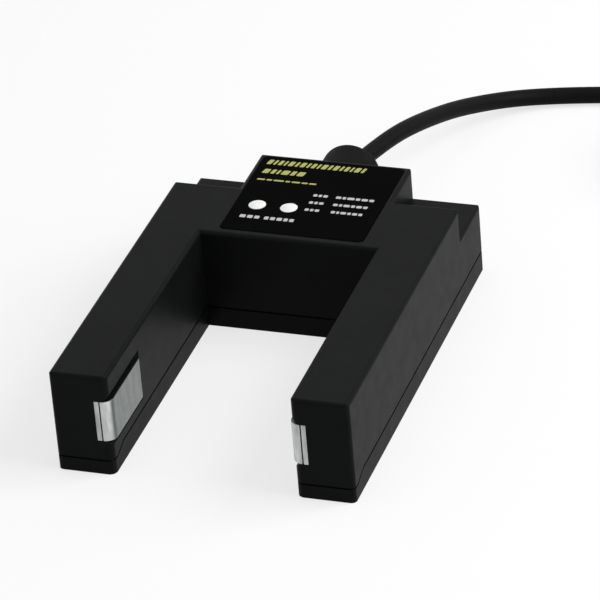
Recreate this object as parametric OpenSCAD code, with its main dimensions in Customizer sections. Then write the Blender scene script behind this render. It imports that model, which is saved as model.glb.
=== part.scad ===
// Fork sensor: a U-shaped photoelectric sensor that watches the gap between its two arms.
// +X runs across the arms, the gap opens towards -Y, the cable leaves towards +Y, and +Z is up.
// The origin lies midway between the two mounting holes, on the mounting face. Millimetres.

/* [Fork] */
// Clear gap between the two arms
fork_gap = 50; // [40:1:70]
// Depth of the gap, from the arm tips to its rear wall
fork_depth = 76; // [66:1:100]
// Width of each arm
arm_w = 16; // [16:0.5:22]
// Height of the body above its mounting face
body_h = 30; // [29:0.5:40]

/* [Body] */
// Length of the bridge, from the gap's rear wall to the rear of the shoulders
bridge_l = 25; // [24:0.5:34]
// Width of the rear block between the lugs
block_w = 44; // [42:0.5:48]
// Wall of the moulded shell
wall = 2; // [1.8:0.1:2.4]
// Radius of the upright corners
corner_r = 1.5; // [0.8:0.1:1.8]
// Radius of the inner upright corner at each arm's tip
tip_r = 2; // [1:0.1:2.2]
// Radius along the top edges
edge_r = 1.2; // [0.4:0.1:1.4]

/* [Mounting lugs] */
// Length of the lugs behind the shoulders
lug_l = 19; // [16:0.5:24]
// Height of the lugs
lug_h = 20.5; // [14:0.5:24]
// Diameter of the mounting holes
mount_d = 4.5; // [3.2:0.1:5.5]
// Distance from the body's side to the mounting hole
mount_inset = 9.5; // [8:0.5:11]

/* [Cover seam] */
// Height of the seam between the shell and the bottom cover
seam_z = 6.3; // [5.5:0.1:6.6]
// Height of the seam across the arm tips
tip_seam_z = 4.5; // [4:0.1:5.2]
// Distance from the tips to the foot of the seam's ramp
ramp_start = 3; // [2.5:0.5:5]
// Length of the seam's ramp
ramp_l = 5; // [4:0.5:8]
// Height and depth of the shadow groove along the seam
seam_groove = 0.5; // [0.2:0.1:0.7]
// Height of the cover's tongue inside the shell
tongue_h = 1.2; // [0.8:0.1:1.2]

/* [Windows] */
// Length of the window pockets, from the tips
window_l = 22.5; // [20:0.5:26]
// Height of the windows
window_h = 12.2; // [10:0.1:12.4]
// Height of the optical axis above the mounting face
axis_z = 16.4; // [16.3:0.1:17.3]
// Depth of the pockets in the arms' inner faces
pocket_d = 4; // [3.5:0.1:4.2]
// How far the windows stand out of the arms' inner faces
window_rise = 0.7; // [0.2:0.1:1]
// Depth of the bevel around the pockets' mouths
mouth_bevel = 1.5; // [0.8:0.1:1.6]
// Radius of the windows' front inner corner
window_r = 3; // [2:0.1:3.4]

/* [Label and lamps] */
// Bare strip between the gap's rear edge and the label
label_front = 2.6; // [2:0.1:5]
// Bare strip behind and beside the label
label_margin = 1.6; // [1.5:0.1:3]
// Thickness of the label
label_t = 0.5; // [0.3:0.1:0.6]
// Depth of the label's recess
label_seat = 0.4; // [0.2:0.1:0.6]
// Diameter of the lamp windows
lamp_d = 4.8; // [4:0.1:5.5]
// Distance from the part's middle to the output lamp
output_lamp_x = 14; // [12:0.1:15]
// Distance from the part's middle to the power lamp
power_lamp_x = 4.9; // [4:0.1:6]
// Distance from the gap's rear wall to the lamps
lamp_back = 16.4; // [14:0.1:17]

/* [Cable] */
// Diameter of the cable
cable_d = 5; // [4:0.1:5.4]
// Diameter of the gland
gland_d = 17; // [14:0.5:17.5]
// Length of the gland behind the rear wall
gland_l = 13; // [10:0.5:16]
// Depth of the cable's exit below the top
gland_drop = 10.3; // [10.2:0.1:11]
// Diameter of a core
core_d = 1.2; // [1:0.1:1.3]

/* [Inside] */
// Thickness of the main board
board_t = 1.6; // [1:0.1:1.6]
// Thickness of the boards in the tips
tip_board_t = 1; // [0.8:0.1:1.2]
// Diameter of the infrared diodes
diode_d = 3; // [2.8:0.1:3.2]
// Shank diameter of the self-tapping screws
screw_d = 2.2; // [2:0.1:2.4]
// Diameter of the screw bosses
boss_d = 5.6; // [5:0.1:6]

/* [Hidden] */
$fn = 64;
eps = 0.01;
through = 1;
fit = 0.15;
slide_fit = 0.05;

half_gap = fork_gap / 2;
half_w = half_gap + arm_w;
half_block = block_w / 2;
rear_y = lug_l / 2;
shoulder_y = -lug_l / 2;
slot_y = shoulder_y - bridge_l;
tip_y = slot_y - fork_depth;
ceiling_z = body_h - wall;

mount_x = half_w - mount_inset;

axis_y = tip_y + window_l / 2;
window_z0 = axis_z - window_h / 2;
window_z1 = axis_z + window_h / 2;
pocket_x = half_gap + pocket_d;
bay_x = pocket_x + wall;
bay_end_y = tip_y + window_l + wall + mouth_bevel;
sill_z = window_z0 - mouth_bevel - wall;
aperture_clear = 0.5;
aperture_d = diode_d + 2 * aperture_clear;

label_y0 = slot_y + label_front;
label_y1 = rear_y - label_margin;
label_half_w = half_block - label_margin;
label_r = 1.5;
lamp_y = slot_y + lamp_back;
lamp_rise = 0.3;
lamp_top = body_h - label_seat + label_t + lamp_rise;
lamp_flange = 1;
lamp_flange_d = lamp_d + 2 * lamp_flange;
lamp_pipe_step = 0.6;
lamp_pipe_d = lamp_d - 2 * lamp_pipe_step;
lamp_h = 1.9;
lamp_clear = 0.2;

gland_z = body_h - gland_drop;
board_top = gland_z - core_d / 2 - slide_fit;
board_z = board_top - board_t;
board_clear = 1.5;
board_overhang = 4.5;
board_screw_inset = 3.2;
board_half_w = half_block - wall - board_clear;
board_y0 = slot_y + wall + board_clear;
board_y1 = shoulder_y + board_overhang;
board_screw_x = board_half_w - board_screw_inset;
board_screw_y0 = board_y0 + board_screw_inset;
board_screw_y1 = board_y1 - board_screw_inset;

chip_x = 8;
front_row_y = board_y0 + 4.6;

holder_size = 10;
holder_t = 4;
tip_board_clear = 0.6;
tip_board_foot = 0.2;
tip_board_head = 2.3;
tip_board_x = bay_x + holder_t;
tip_board_z = seam_z + tongue_h + tip_board_foot;
tip_board_h = ceiling_z - tip_board_head - tip_board_z;
tip_board_y0 = tip_y + wall + tip_board_clear;
tip_board_y1 = bay_end_y - tip_board_clear;
tip_rib_x = tip_board_x + tip_board_t;
tip_rib_t = 1.4;
tip_rib_offset = 6.5;

diode_flange = 0.4;
diode_flange_d = diode_d + 2 * diode_flange;
diode_flange_t = 1;
diode_reach = 1.2;
diode_l = holder_t + diode_reach;
pin_d = 0.5;
pin_l = 0.6;
pin_pitch = 1.27;

lead_w = 2.4;
lead_t = 1.2;
lead_clear = 1.3;
lead_rise = 1;
lead_z = board_z - lead_rise - lead_w;
lead_y = (slot_y + shoulder_y) / 2;
lead_start_y = axis_y + tip_rib_offset + tip_rib_t / 2 + lead_clear;
lead_end_x = board_half_w - board_screw_inset;

boss_clear = 0.8;
front_boss_x = half_gap + wall + boss_d / 2 + boss_clear;
front_boss_y = bay_end_y + boss_d / 2 + boss_clear;
rear_boss_x = half_w - wall - boss_d / 2 - boss_clear;
rear_boss_y = shoulder_y - wall - boss_d / 2 - boss_clear;
pad_rise = 1.5;
pad_z = wall + pad_rise;
pad_d = boss_d + 1;
thread_depth = 0.25;
pilot_d = screw_d - 2 * thread_depth;
pilot_l = 9;
screw_hole_d = screw_d + 2 * fit;
head_d = screw_d * 1.8;
head_h = 1.3;
head_seat = 1.6;
screw_l = 7.5;
board_screw_l = 5;
board_pilot_l = board_screw_l - board_t + 1;
board_boss_d = boss_d - 0.6;

gland_neck = 1.5;
gland_neck_d = gland_d - 2 * gland_neck;
gland_flange_d = gland_d - gland_neck;
gland_flange_t = 1.6;
gland_round = 1.5;
gland_end_y = rear_y + gland_l;
tail_l = 3.5;
tail_end_y = rear_y - wall - gland_flange_t - tail_l;
core_pitch = core_d + slide_fit;
core_lap = 4;
core_end_y = board_y1 - core_lap;

cable_r = cable_d / 2;
floor_clear = 0.1;
floor_z = cable_r + floor_clear;
coil_x = 100;
coil_y = 78.5;
coil_turn_r = 31;
coil_margin = 0.3;
coil_base = 0.8;
coil_low_z = coil_base + coil_margin + cable_r;
coil_high_z = coil_low_z + cable_d;
coil_h = 2 * cable_d + 2 * coil_margin;
coil_out = coil_turn_r + cable_r + coil_margin;
coil_in = 15.1;
coil_round = 1.8;
coil_lead_l = 19;
coil_lead_bend = 4;
tie_t = 0.8;
tie_w = 3.6;
tie_gap = 0.5;
tie_round = 1.2;
tie_angle = 45;
tie_head_l = 5;
tie_head_w = 5.6;
tie_head_h = 3.6;
tie_head_inset = 5;
far_end_l = 44;
far_end_drop = coil_high_z - floor_z;
end_gap = 0.3;
end_core_l = 30;
end_core_spread = 9;
end_core_dip = 2;
bare_d = 0.7;
bare_l = 6;

// The cable's course out of the gland: place across, distance behind the gland, share of the exit's height
cable_course = [
    [0, 0, 1], [0, 2.5, 1], [0.8, 6.7, 0.99], [2.4, 11.3, 0.98], [3.6, 16.2, 0.97], [4.8, 21.3, 0.94],
    [6.2, 26.7, 0.9], [7.7, 31.7, 0.84], [8.8, 36.6, 0.77], [10.2, 41.6, 0.69], [11.8, 46.9, 0.6],
    [13.3, 52, 0.52], [15.1, 56.9, 0.42], [17, 61.6, 0.33], [19.5, 66.4, 0.24], [22.5, 71.2, 0.15],
    [25.8, 74.8, 0.09], [29.4, 77.6, 0.04], [34.2, 80, 0.01], [39.8, 81.9, 0], [48.8, 83.9, 0],
    [58, 85.6, 0], [66, 86.7, 0.03]
];
cable_route = concat(
    [for (p = cable_course) [p[0], gland_end_y + p[1], floor_z + p[2] * (gland_z - floor_z)]],
    [for (x = [coil_lead_l + coil_lead_bend, coil_lead_l]) [coil_x - x, coil_y + coil_turn_r, coil_low_z]]
);
cable_sides = 8;

// A rectangle with its own radius at each corner, in the order front left, front right, rear right, rear left
module soft_rect(x0, x1, y0, y1, radii) {
    corners = [[x0, y0, 1, 1], [x1, y0, -1, 1], [x1, y1, -1, -1], [x0, y1, 1, -1]];
    difference() {
        translate([x0, y0]) square([x1 - x0, y1 - y0]);
        for (i = [0:3]) {
            r = radii[i];
            c = corners[i];
            if (r > 0) difference() {
                translate([c[0] - (c[2] < 0 ? r : eps), c[1] - (c[3] < 0 ? r : eps)]) square(r + eps);
                translate([c[0] + c[2] * r, c[1] + c[3] * r]) circle(r);
            }
        }
    }
}

// A moulded block: its plan, front and side outlines are extruded along the three axes and intersected
module moulded_block(x0, x1, y0, y1, h, uprights, tops) {
    intersection() {
        linear_extrude(h) soft_rect(x0, x1, y0, y1, uprights);
        translate([0, y1 + through, 0]) rotate([90, 0, 0])
            linear_extrude(y1 - y0 + 2 * through) soft_rect(x0, x1, -through, h, [0, 0, tops[1], tops[3]]);
        translate([x0 - through, 0, 0]) rotate([90, 0, 90])
            linear_extrude(x1 - x0 + 2 * through) soft_rect(y0, y1, -through, h, [0, 0, tops[2], tops[0]]);
    }
}

// Both sides: the child as drawn on the right arm, and its mirror image
module each_side() {
    children();
    mirror([1, 0, 0]) children();
}

// The whole outer form, before the seam splits it
module outer_form() {
    inside = half_gap + edge_r + wall;
    each_side() moulded_block(half_gap, half_w, tip_y, shoulder_y, body_h,
        [tip_r, corner_r, corner_r, 0], [edge_r, edge_r, edge_r, edge_r]);
    moulded_block(-inside, inside, slot_y, shoulder_y, body_h, [0, 0, 0, 0], [edge_r, 0, edge_r, 0]);
    moulded_block(-half_block, half_block, slot_y + wall, rear_y, body_h,
        [0, 0, corner_r, corner_r], [0, edge_r, edge_r, edge_r]);
    each_side() moulded_block(half_block - wall, half_w, shoulder_y - corner_r - wall, rear_y, lug_h,
        [0, 0, corner_r, 0], [0, edge_r, edge_r, 0]);
}

// Plan of the hollow, set in from the outer faces
module hollow_plan(inset) {
    each_side() translate([half_gap + inset, tip_y + inset])
        square([arm_w - 2 * inset, shoulder_y - tip_y - 2 * inset]);
    translate([-half_w + inset, slot_y + inset]) square([2 * half_w - 2 * inset, bridge_l - 2 * inset]);
    translate([-half_block + inset, slot_y + inset])
        square([block_w - 2 * inset, bridge_l + lug_l - 2 * inset]);
}

// Plan of the whole base, lugs included, set in from the outer faces
module base_plan(inset) {
    hollow_plan(inset);
    translate([-half_w + inset, slot_y + inset]) square([2 * half_w - 2 * inset, bridge_l + lug_l - 2 * inset]);
}

// Everything below the seam line, raised or lowered by lift
module below_seam(lift) {
    translate([-half_w - through, 0, 0]) rotate([90, 0, 90]) linear_extrude(2 * half_w + 2 * through) polygon([
        [tip_y - through, -through], [tip_y - through, tip_seam_z + lift],
        [tip_y + ramp_start, tip_seam_z + lift], [tip_y + ramp_start + ramp_l, seam_z + lift],
        [rear_y + through, seam_z + lift], [rear_y + through, -through]
    ]);
}

module mount_holes() {
    each_side() translate([mount_x, 0, -through]) cylinder(d = mount_d, h = body_h + 2 * through);
}

module at_cover_screws() {
    each_side() {
        translate([front_boss_x, front_boss_y, 0]) children();
        translate([rear_boss_x, rear_boss_y, 0]) children();
    }
}

module at_board_screws() {
    each_side() for (y = [board_screw_y0, board_screw_y1]) translate([board_screw_x, y, 0]) children();
}

// The bevelled pocket for a window at the right arm's inner front corner
module window_pocket() {
    far = half_gap - through;
    intersection() {
        translate([0, bay_end_y, 0]) rotate([90, 0, 0]) linear_extrude(bay_end_y - tip_y + through) polygon([
            [far, window_z0 - mouth_bevel - through], [half_gap + mouth_bevel, window_z0],
            [pocket_x, window_z0], [pocket_x, window_z1],
            [half_gap + mouth_bevel, window_z1], [far, window_z1 + mouth_bevel + through]
        ]);
        translate([0, 0, sill_z]) linear_extrude(body_h - sill_z) polygon([
            [far, tip_y - through], [pocket_x, tip_y - through], [pocket_x, tip_y + window_l],
            [half_gap + mouth_bevel, tip_y + window_l], [far, tip_y + window_l + mouth_bevel + through]
        ]);
    }
}

// The shell's hollow: wide below the window sills, narrow beside the pockets, full behind them
module shell_hollow() {
    intersection() {
        linear_extrude(ceiling_z) hollow_plan(wall);
        union() {
            translate([-half_w, tip_y, -through])
                cube([2 * half_w, lug_l + bridge_l + fork_depth, sill_z + through]);
            translate([-half_w, bay_end_y, 0]) cube([2 * half_w, rear_y - bay_end_y, body_h]);
            each_side() translate([bay_x, tip_y, 0]) cube([half_w - bay_x, fork_depth, body_h]);
        }
    }
}

// Upper housing: the moulded shell, open below, with its screw bosses and board ribs
module upper_housing() {
    color([0.16, 0.16, 0.16]) difference() {
        union() {
            difference() {
                outer_form();
                below_seam(0);
                shell_hollow();
                intersection() {
                    linear_extrude(body_h) hollow_plan(wall / 2);
                    below_seam(tongue_h + fit);
                }
                each_side() window_pocket();
            }
            at_cover_screws() translate([0, 0, pad_z]) cylinder(d = boss_d, h = ceiling_z - pad_z + eps);
            at_board_screws() translate([0, 0, board_top])
                cylinder(d = board_boss_d, h = ceiling_z - board_top + eps);
            each_side() for (side = [-1, 1])
                translate([tip_rib_x, axis_y + side * tip_rib_offset - tip_rib_t / 2, tip_board_z])
                    cube([half_w - wall - tip_rib_x + eps, tip_rib_t, ceiling_z - tip_board_z + eps]);
        }
        each_side() translate([half_gap, axis_y, axis_z]) rotate([0, 90, 0])
            cylinder(d = aperture_d, h = bay_x - half_gap + eps);
        at_cover_screws() translate([0, 0, pad_z - through]) cylinder(d = pilot_d, h = pilot_l + through);
        at_board_screws() translate([0, 0, board_top - through])
            cylinder(d = pilot_d, h = board_pilot_l + through);
        for (x = [-output_lamp_x, -power_lamp_x]) translate([x, lamp_y, ceiling_z - through])
            cylinder(d = lamp_d + 2 * slide_fit, h = wall + 2 * through);
        translate([0, 0, body_h - label_seat]) linear_extrude(label_seat + through)
            soft_rect(-label_half_w - fit, label_half_w + fit, label_y0 - fit, label_y1 + fit,
                [label_r, label_r, label_r, label_r]);
        translate([0, rear_y + through, gland_z]) rotate([90, 0, 0])
            cylinder(d = gland_neck_d, h = wall + 2 * through);
        mount_holes();
    }
}

// Bottom cover: a shallow moulded tray with a shadow groove, a tongue and counterbored screw pads
module bottom_cover() {
    color([0.14, 0.14, 0.14]) difference() {
        union() {
            difference() {
                union() {
                    intersection() {
                        outer_form();
                        below_seam(-seam_groove);
                    }
                    intersection() {
                        linear_extrude(body_h) base_plan(seam_groove);
                        below_seam(0);
                    }
                    intersection() {
                        linear_extrude(body_h) hollow_plan(wall / 2 + fit);
                        below_seam(tongue_h);
                    }
                }
                translate([0, 0, wall]) linear_extrude(body_h) hollow_plan(wall);
            }
            at_cover_screws() translate([0, 0, wall - eps]) cylinder(d = pad_d, h = pad_rise + eps);
        }
        at_cover_screws() translate([0, 0, -through]) cylinder(d = screw_hole_d, h = pad_z + 2 * through);
        at_cover_screws() translate([0, 0, -through]) cylinder(d = head_d + 2 * fit, h = head_seat + through);
        mount_holes();
    }
}

// A pan-head self-tapping screw with a cross recess, its head's seat at the origin and its point up
module tapping_screw(length) {
    slot_w = screw_d * 0.28;
    slot_d = head_h * 0.6;
    difference() {
        union() {
            translate([0, 0, -head_h]) cylinder(d = head_d, h = head_h);
            cylinder(d = pilot_d, h = length - screw_d);
            translate([0, 0, length - screw_d]) cylinder(d1 = pilot_d, d2 = pilot_d * 0.3, h = screw_d);
        }
        for (turn = [0, 90]) rotate(turn) translate([-screw_d / 2, -slot_w / 2, -head_h - through])
            cube([screw_d, slot_w, slot_d + through]);
    }
}

// Cover screws: four, from below into the shell's bosses
module cover_screws() {
    color("silver") at_cover_screws() translate([0, 0, head_seat]) tapping_screw(screw_l);
}

// A clear window with a rounded front corner and a thin groove down its front face
module window_block() {
    x0 = half_gap - window_rise;
    x1 = pocket_x - slide_fit;
    groove = 0.35;
    difference() {
        translate([0, 0, window_z0 + slide_fit]) linear_extrude(window_h - 2 * slide_fit)
            soft_rect(x0, x1, tip_y, tip_y + window_l - slide_fit, [window_r, 0, 0, 0]);
        translate([x0 + window_r, tip_y - through, window_z0 - through])
            cube([groove, groove + through, window_h + 2 * through]);
    }
}

module emitter_window() { color([0.85, 0.87, 0.87, 0.6]) mirror([1, 0, 0]) window_block(); }
module receiver_window() { color([0.85, 0.87, 0.87, 0.6]) window_block(); }

// A holder that keeps a diode square to the gap, with a counterbore for the diode's flange
module diode_holder() {
    translate([bay_x, axis_y, axis_z]) rotate([0, 90, 0]) difference() {
        translate([-holder_size / 2, -holder_size / 2, 0]) cube([holder_size, holder_size, holder_t]);
        translate([0, 0, -through]) cylinder(d = diode_d + 2 * slide_fit, h = holder_t + 2 * through);
        translate([0, 0, holder_t - diode_flange_t]) cylinder(d = diode_flange_d + 2 * slide_fit, h = holder_t);
    }
}

module emitter_holder() { color([0.2, 0.2, 0.22]) mirror([1, 0, 0]) diode_holder(); }
module receiver_holder() { color([0.2, 0.2, 0.22]) diode_holder(); }

// A round diode: domed lens towards the gap, flange in the holder, two pins through the board
module diode() {
    dome_x = tip_board_x - diode_l + diode_d / 2;
    translate([dome_x, axis_y, axis_z]) {
        intersection() {
            sphere(d = diode_d);
            translate([-diode_d, -diode_d, -diode_d]) cube([diode_d, 2 * diode_d, 2 * diode_d]);
        }
        rotate([0, 90, 0]) cylinder(d = diode_d, h = tip_board_x - dome_x);
    }
    translate([tip_board_x - diode_flange_t, axis_y, axis_z]) rotate([0, 90, 0])
        cylinder(d = diode_flange_d, h = diode_flange_t);
    for (side = [-1, 1]) translate([tip_board_x - eps, axis_y + side * pin_pitch, axis_z]) rotate([0, 90, 0])
        cylinder(d = pin_d, h = tip_board_t + pin_l);
}

module emitter_diode() { color([0.55, 0.6, 0.75]) mirror([1, 0, 0]) diode(); }
module receiver_diode() { color([0.1, 0.1, 0.12]) diode(); }

// A small upright board that backs the holder, with holes for the diode's pins
module tip_board() {
    difference() {
        translate([tip_board_x, tip_board_y0, tip_board_z])
            cube([tip_board_t, tip_board_y1 - tip_board_y0, tip_board_h]);
        for (side = [-1, 1])
            translate([tip_board_x - through, axis_y + side * pin_pitch, axis_z]) rotate([0, 90, 0])
                cylinder(d = pin_d + 2 * slide_fit, h = tip_board_t + 2 * through);
    }
}

module emitter_board() { color([0.1, 0.35, 0.2]) mirror([1, 0, 0]) tip_board(); }
module receiver_board() { color([0.1, 0.35, 0.2]) tip_board(); }

// A flat two-core lead: along the arm, across the bridge and up to the main board
module arm_lead() {
    translate([tip_rib_x, lead_start_y, lead_z]) cube([lead_t, lead_y - lead_start_y, lead_w]);
    translate([lead_end_x, lead_y - lead_t, lead_z]) cube([tip_rib_x + lead_t - lead_end_x, lead_t, lead_w]);
    translate([lead_end_x, lead_y - lead_t, lead_z]) cube([lead_w, lead_t, lead_w + lead_rise]);
}

module emitter_leads() { color([0.6, 0.6, 0.6]) mirror([1, 0, 0]) arm_lead(); }
module receiver_leads() { color([0.6, 0.6, 0.6]) arm_lead(); }

// Main board, screwed up against the shell's bosses
module main_board() {
    color([0.1, 0.35, 0.2]) difference() {
        translate([-board_half_w, board_y0, board_z]) cube([2 * board_half_w, board_y1 - board_y0, board_t]);
        at_board_screws() translate([0, 0, board_z - through])
            cylinder(d = screw_hole_d, h = board_t + 2 * through);
    }
}

// Board screws: four, from below
module board_screws() {
    color("silver") at_board_screws() translate([0, 0, board_z]) tapping_screw(board_screw_l);
}

// A small flat chip package with a row of legs on each long side, standing on z = 0
module flat_chip(length, width, height, legs) {
    leg_w = 0.42;
    leg_l = 1;
    pitch = 1.27;
    stand_off = 0.1;
    translate([-length / 2, -width / 2, stand_off]) cube([length, width, height - stand_off]);
    for (side = [-1, 1], i = [0:legs - 1])
        translate([(i - (legs - 1) / 2) * pitch - leg_w / 2, side * (width + leg_l) / 2 - leg_l / 2, 0])
            cube([leg_w, leg_l, height / 2]);
}

module control_chip() {
    color([0.12, 0.12, 0.12]) translate([chip_x, lamp_y, board_top]) flat_chip(5, 4, 1.6, 4);
}

module output_transistor() {
    color([0.12, 0.12, 0.12]) translate([chip_x, front_row_y, board_top]) flat_chip(4.5, 2.6, 1.5, 3);
}

// Capacitors: two round cans on square bases
module capacitors() {
    can_d = 4;
    can_h = 5;
    base_w = can_d + 0.3;
    base_h = 0.8;
    color([0.75, 0.75, 0.78]) for (x = [-power_lamp_x - can_d, can_d / 2])
        translate([x, front_row_y, board_top]) {
            translate([-base_w / 2, -base_w / 2, 0]) cube([base_w, base_w, base_h]);
            cylinder(d = can_d, h = can_h);
        }
}

// A lamp: a small light-emitting chip package under its window
module lamp(x) {
    size = [3.5, 2.8, lamp_h];
    cup_d = 2.2;
    cup_depth = 0.5;
    translate([x, lamp_y, board_top]) difference() {
        translate([-size[0] / 2, -size[1] / 2, 0]) cube(size);
        translate([0, 0, lamp_h - cup_depth]) cylinder(d = cup_d, h = cup_depth + through);
    }
}

module output_lamp() { color([0.9, 0.4, 0.35]) lamp(-output_lamp_x); }
module power_lamp() { color([0.4, 0.8, 0.45]) lamp(-power_lamp_x); }

// A white lamp window: a low dome through the label, a flange under the shell's top and a light pipe
module lamp_window(x) {
    pipe_z = board_top + lamp_h + lamp_clear;
    dome_r = (pow(lamp_d / 2, 2) + pow(lamp_rise, 2)) / (2 * lamp_rise);
    translate([x, lamp_y, 0]) {
        translate([0, 0, ceiling_z - lamp_flange]) cylinder(d = lamp_flange_d, h = lamp_flange);
        translate([0, 0, pipe_z]) cylinder(d = lamp_pipe_d, h = ceiling_z - pipe_z);
        intersection() {
            translate([0, 0, ceiling_z - eps]) cylinder(d = lamp_d, h = wall + label_t + lamp_rise);
            translate([0, 0, lamp_top - dome_r]) sphere(dome_r, $fn = 128);
        }
    }
}

module output_lamp_window() { color([0.93, 0.93, 0.93]) lamp_window(-output_lamp_x); }
module power_lamp_window() { color([0.93, 0.93, 0.93]) lamp_window(-power_lamp_x); }

// Label: a thin glossy foil in its recess, punched for the lamp windows
module label_panel() {
    color([0.02, 0.02, 0.02]) difference() {
        translate([0, 0, body_h - label_seat]) linear_extrude(label_t)
            soft_rect(-label_half_w, label_half_w, label_y0, label_y1, [label_r, label_r, label_r, label_r]);
        for (x = [-output_lamp_x, -power_lamp_x]) translate([x, lamp_y, body_h - label_seat - through])
            cylinder(d = lamp_d + 2 * slide_fit, h = label_t + 2 * through);
    }
}

// Gland: a soft round bush, gripped by its neck in the rear wall
module cable_gland() {
    bore_r = cable_r + slide_fit;
    in_y = wall + slide_fit;
    color([0.18, 0.18, 0.18]) translate([0, rear_y, gland_z]) rotate([-90, 0, 0]) rotate_extrude() difference() {
        union() {
            translate([0, -in_y - gland_flange_t]) square([gland_flange_d / 2, gland_flange_t]);
            translate([0, -in_y - eps]) square([gland_neck_d / 2 - slide_fit, in_y + 2 * eps]);
            square([gland_d / 2, gland_l - gland_round]);
            square([gland_d / 2 - gland_round, gland_l]);
            translate([gland_d / 2 - gland_round, gland_l - gland_round]) intersection() {
                circle(gland_round);
                square(gland_round);
            }
        }
        translate([-eps, -in_y - gland_flange_t - through])
            square([bore_r + eps, gland_l + wall + 4 * through]);
    }
}

// The cable's own end, held in the gland
module cable_tail() {
    color([0.15, 0.15, 0.15]) translate([0, gland_end_y, gland_z]) rotate([90, 0, 0])
        cylinder(d = cable_d, h = gland_end_y - tail_end_y);
}

// A core from the cable's end to its pad on the main board
module board_core(place) {
    translate([place * core_pitch, tail_end_y, gland_z]) rotate([90, 0, 0])
        cylinder(d = core_d, h = tail_end_y - core_end_y);
}

module brown_core() { color([0.35, 0.18, 0.08]) board_core(-1); }
module blue_core() { color([0.1, 0.25, 0.7]) board_core(0); }
module black_core() { color([0.05, 0.05, 0.05]) board_core(1); }

// A tube swept along points: one ring square to the path at each point, closed at both ends
function unit(v) = v / norm(v);
function heading(p, i) = unit(p[min(i + 1, len(p) - 1)] - p[max(i - 1, 0)]);
function ring(p, i, r, sides) =
    let (ahead = heading(p, i), side = unit(cross(ahead, [0, 0, 1])), up = cross(side, ahead))
    [for (k = [0:sides - 1]) p[i] + r * (cos(360 * k / sides) * side + sin(360 * k / sides) * up)];

module swept_tube(p, r, sides) {
    last = len(p) - 1;
    points = [for (i = [0:last]) each ring(p, i, r, sides)];
    walls = [for (i = [0:last - 1], k = [0:sides - 1])
        let (a = i * sides + k, b = i * sides + (k + 1) % sides) [a, b, b + sides, a + sides]];
    start_cap = [for (k = [0:sides - 1]) sides - 1 - k];
    end_cap = [for (k = [0:sides - 1]) last * sides + k];
    polyhedron(points, concat([start_cap], walls, [end_cap]));
}

module cable() {
    color([0.15, 0.15, 0.15]) swept_tube(cable_route, cable_r, cable_sides);
}

// The rest of the cable, wound into a flat round coil, with its straight way in and its far end running out
module cable_coil() {
    color([0.15, 0.15, 0.15]) {
        translate([coil_x, coil_y, coil_base]) rotate_extrude()
            soft_rect(coil_in, coil_out, 0, coil_h, [coil_round, coil_round, coil_round, coil_round]);
        translate([coil_x - coil_lead_l, coil_y + coil_turn_r, coil_low_z]) rotate([0, 90, 0])
            cylinder(d = cable_d, h = coil_lead_l);
        translate([coil_x + coil_turn_r, coil_y, coil_high_z])
            rotate([90 + atan(far_end_drop / far_end_l), 0, 0])
                cylinder(d = cable_d, h = norm([far_end_l, far_end_drop]));
    }
}

// Tie: a strap round the coil's turns, with its locking head on top
module coil_tie() {
    r0 = coil_in - tie_gap;
    r1 = coil_out + tie_gap;
    top = coil_base + coil_h + tie_gap;
    inner = [tie_round, tie_round, tie_round, tie_round];
    outer = [for (r = inner) r + tie_t];
    color([0.1, 0.1, 0.1]) translate([coil_x, coil_y, 0]) rotate(tie_angle) {
        translate([0, tie_w / 2, 0]) rotate([90, 0, 0]) linear_extrude(tie_w) difference() {
            soft_rect(r0 - tie_t, r1 + tie_t, coil_base - tie_t, top + tie_t, outer);
            soft_rect(r0, r1, coil_base, top, inner);
        }
        translate([r1 - tie_head_inset - tie_head_l, -tie_head_w / 2, top + tie_t - eps])
            cube([tie_head_l, tie_head_w, tie_head_h + eps]);
    }
}

// A stripped core beyond the cable's far end, with its bare tip
module end_core(place) {
    translate([coil_x + coil_turn_r + place * core_pitch, coil_y - far_end_l - end_gap, floor_z])
        rotate([90 + end_core_dip, 0, place * end_core_spread]) {
            cylinder(d = core_d, h = end_core_l);
            translate([0, 0, end_core_l - eps]) cylinder(d = bare_d, h = bare_l);
        }
}

module brown_end() { color([0.35, 0.18, 0.08]) end_core(-1); }
module blue_end() { color([0.1, 0.25, 0.7]) end_core(0); }
module black_end() { color([0.05, 0.05, 0.05]) end_core(1); }

upper_housing();
bottom_cover();
cover_screws();
emitter_window();
receiver_window();
emitter_holder();
receiver_holder();
emitter_diode();
receiver_diode();
emitter_board();
receiver_board();
emitter_leads();
receiver_leads();
main_board();
board_screws();
control_chip();
output_transistor();
capacitors();
output_lamp();
power_lamp();
output_lamp_window();
power_lamp_window();
label_panel();
cable_gland();
cable_tail();
brown_core();
blue_core();
black_core();
cable();
cable_coil();
coil_tie();
brown_end();
blue_end();
black_end();
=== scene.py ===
import math

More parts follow.
